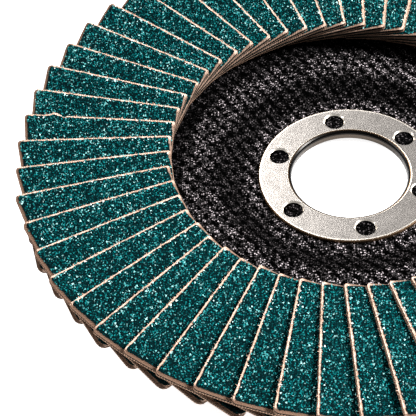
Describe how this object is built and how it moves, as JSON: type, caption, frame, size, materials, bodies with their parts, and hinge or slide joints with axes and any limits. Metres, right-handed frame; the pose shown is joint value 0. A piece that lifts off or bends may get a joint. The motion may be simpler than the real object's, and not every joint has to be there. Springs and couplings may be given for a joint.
{
  "type": "flap disc",
  "caption": "Depressed-centre flap disc: a fan of overlapping abrasive cloth flaps bonded to a glass-fibre backing plate with a pressed metal centre ring.",
  "frame": {"origin": "on the axis of rotation, at the flat back of the hub", "axes": "+Z along the axis of rotation, out of the side that the flaps face; +X and +Y across the disc"},
  "size_m": [0.1267, 0.1267, 0.0112],
  "materials": {
    "glass_fibre_resin": "woven glass fibre set in black resin, matt with glints of fibre",
    "pressed_steel": "fine matt, bead blasted",
    "adhesive": "set epoxy resin, matt",
    "abrasive_cloth": "blue-green abrasive grain on brown cloth"
  },
  "bodies": {
    "root": {"backing_plate": "glass_fibre_resin", "centre_ring": "pressed_steel", "adhesive_bed": "adhesive", "flap_01": "abrasive_cloth", "flap_02": "abrasive_cloth", "flap_03": "abrasive_cloth", "flap_04": "abrasive_cloth", "flap_05": "abrasive_cloth", "flap_06": "abrasive_cloth", "flap_07": "abrasive_cloth", "flap_08": "abrasive_cloth", "flap_09": "abrasive_cloth", "flap_10": "abrasive_cloth", "flap_11": "abrasive_cloth", "flap_12": "abrasive_cloth", "flap_13": "abrasive_cloth", "flap_14": "abrasive_cloth", "flap_15": "abrasive_cloth", "flap_16": "abrasive_cloth", "flap_17": "abrasive_cloth", "flap_18": "abrasive_cloth", "flap_19": "abrasive_cloth", "flap_20": "abrasive_cloth", "flap_21": "abrasive_cloth", "flap_22": "abrasive_cloth", "flap_23": "abrasive_cloth", "flap_24": "abrasive_cloth", "flap_25": "abrasive_cloth", "flap_26": "abrasive_cloth", "flap_27": "abrasive_cloth", "flap_28": "abrasive_cloth", "flap_29": "abrasive_cloth", "flap_30": "abrasive_cloth", "flap_31": "abrasive_cloth", "flap_32": "abrasive_cloth", "flap_33": "abrasive_cloth", "flap_34": "abrasive_cloth", "flap_35": "abrasive_cloth", "flap_36": "abrasive_cloth", "flap_37": "abrasive_cloth", "flap_38": "abrasive_cloth", "flap_39": "abrasive_cloth", "flap_40": "abrasive_cloth", "flap_41": "abrasive_cloth", "flap_42": "abrasive_cloth", "flap_43": "abrasive_cloth", "flap_44": "abrasive_cloth", "flap_45": "abrasive_cloth", "flap_46": "abrasive_cloth", "flap_47": "abrasive_cloth", "flap_48": "abrasive_cloth", "flap_49": "abrasive_cloth", "flap_50": "abrasive_cloth", "flap_51": "abrasive_cloth", "flap_52": "abrasive_cloth", "flap_53": "abrasive_cloth", "flap_54": "abrasive_cloth", "flap_55": "abrasive_cloth"}
  },
  "joints": []
}
